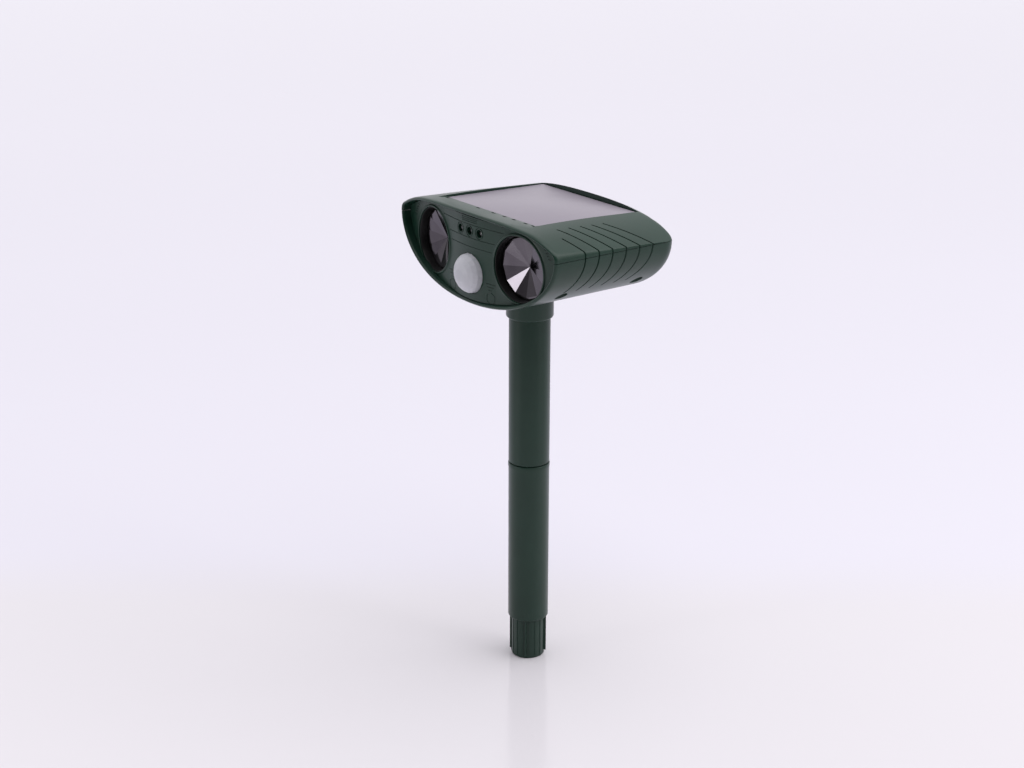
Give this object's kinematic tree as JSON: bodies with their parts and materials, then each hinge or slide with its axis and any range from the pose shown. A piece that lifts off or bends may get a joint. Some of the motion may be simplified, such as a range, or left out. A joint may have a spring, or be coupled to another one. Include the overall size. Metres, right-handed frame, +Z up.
{
  "type": "ultrasonic pest repeller",
  "caption": "Solar garden repeller: wide rounded head with panel on top, two toed-out sound horns and a motion sensor dome in front, on a tubular push-fit pole.",
  "frame": {"origin": "centre of the pole's flat lower end", "axes": "+Z up along the pole, -Y out of the front face, +X to the viewer's right of the front face"},
  "size_m": [0.145, 0.1054, 0.281],
  "materials": {
    "green_plastic": "satin moulded",
    "black_plastic": "matt moulded",
    "grey_plastic": "matt moulded",
    "steel": "plated",
    "board": "solder mask",
    "panel_glass": "smooth laminated cell",
    "seal_foam": "closed foam",
    "cone_metal": "polished",
    "lens_plastic": "milky translucent",
    "lamp_plastic": "clear",
    "cell_can": "film wrapped can",
    "cover_rubber": "matt"
  },
  "bodies": {
    "pole_base": {"lower_tube": "green_plastic"},
    "pole_top": {"upper_tube": "green_plastic"},
    "head": {"top_shell": "green_plastic", "bottom_shell": "green_plastic", "face_plate": "green_plastic", "solar_panel": "panel_glass", "panel_seal": "seal_foam", "horn_cup_left": "black_plastic", "horn_cup_right": "black_plastic", "horn_cone_left": "cone_metal", "horn_cone_right": "cone_metal", "driver_left": "grey_plastic", "driver_right": "grey_plastic", "sensor_lens": "lens_plastic", "motion_sensor": "steel", "lamp_left": "lamp_plastic", "lamp_middle": "lamp_plastic", "lamp_right": "lamp_plastic", "sensor_board": "board", "main_board": "board", "shell_screw_left_front": "steel", "shell_screw_left_rear": "steel", "shell_screw_right_front": "steel", "shell_screw_right_rear": "steel", "battery_cell": "cell_can", "battery_contact_left": "steel", "battery_contact_right": "steel", "battery_holder": "black_plastic", "mode_dial_body": "grey_plastic", "power_switch_body": "grey_plastic", "charging_port": "steel"},
    "battery_door": {"battery_door": "green_plastic", "door_screw_left": "steel", "door_screw_right": "steel"},
    "mode_knob": {"mode_knob": "black_plastic"},
    "power_switch": {"power_switch": "black_plastic"},
    "port_cover": {"port_cover": "cover_rubber"}
  },
  "joints": [
    {"name": "pole_pull", "type": "slide", "parent": "pole_base", "child": "pole_top", "axis": [0, 0, 1], "range_m": [0, 0.025]},
    {"name": "head_turn", "type": "hinge", "parent": "pole_top", "child": "head", "pos_m": [0, 0, 0.2241], "axis": [0, 0, 1], "continuous": true},
    {"name": "door_drop", "type": "slide", "parent": "head", "child": "battery_door", "axis": [0, 0, -1], "range_m": [0, 0.02]},
    {"name": "mode_turn", "type": "hinge", "parent": "head", "child": "mode_knob", "pos_m": [-0.026, 0.0488, 0.252], "axis": [0, 1, 0], "range_deg": [-135, 135]},
    {"name": "power_slide", "type": "slide", "parent": "head", "child": "power_switch", "axis": [1, 0, 0], "range_m": [0, 0.004]},
    {"name": "cover_flip", "type": "hinge", "parent": "head", "child": "port_cover", "pos_m": [0, 0.0511, 0.2585], "axis": [1, 0, 0], "range_deg": [0, 110]}
  ]
}
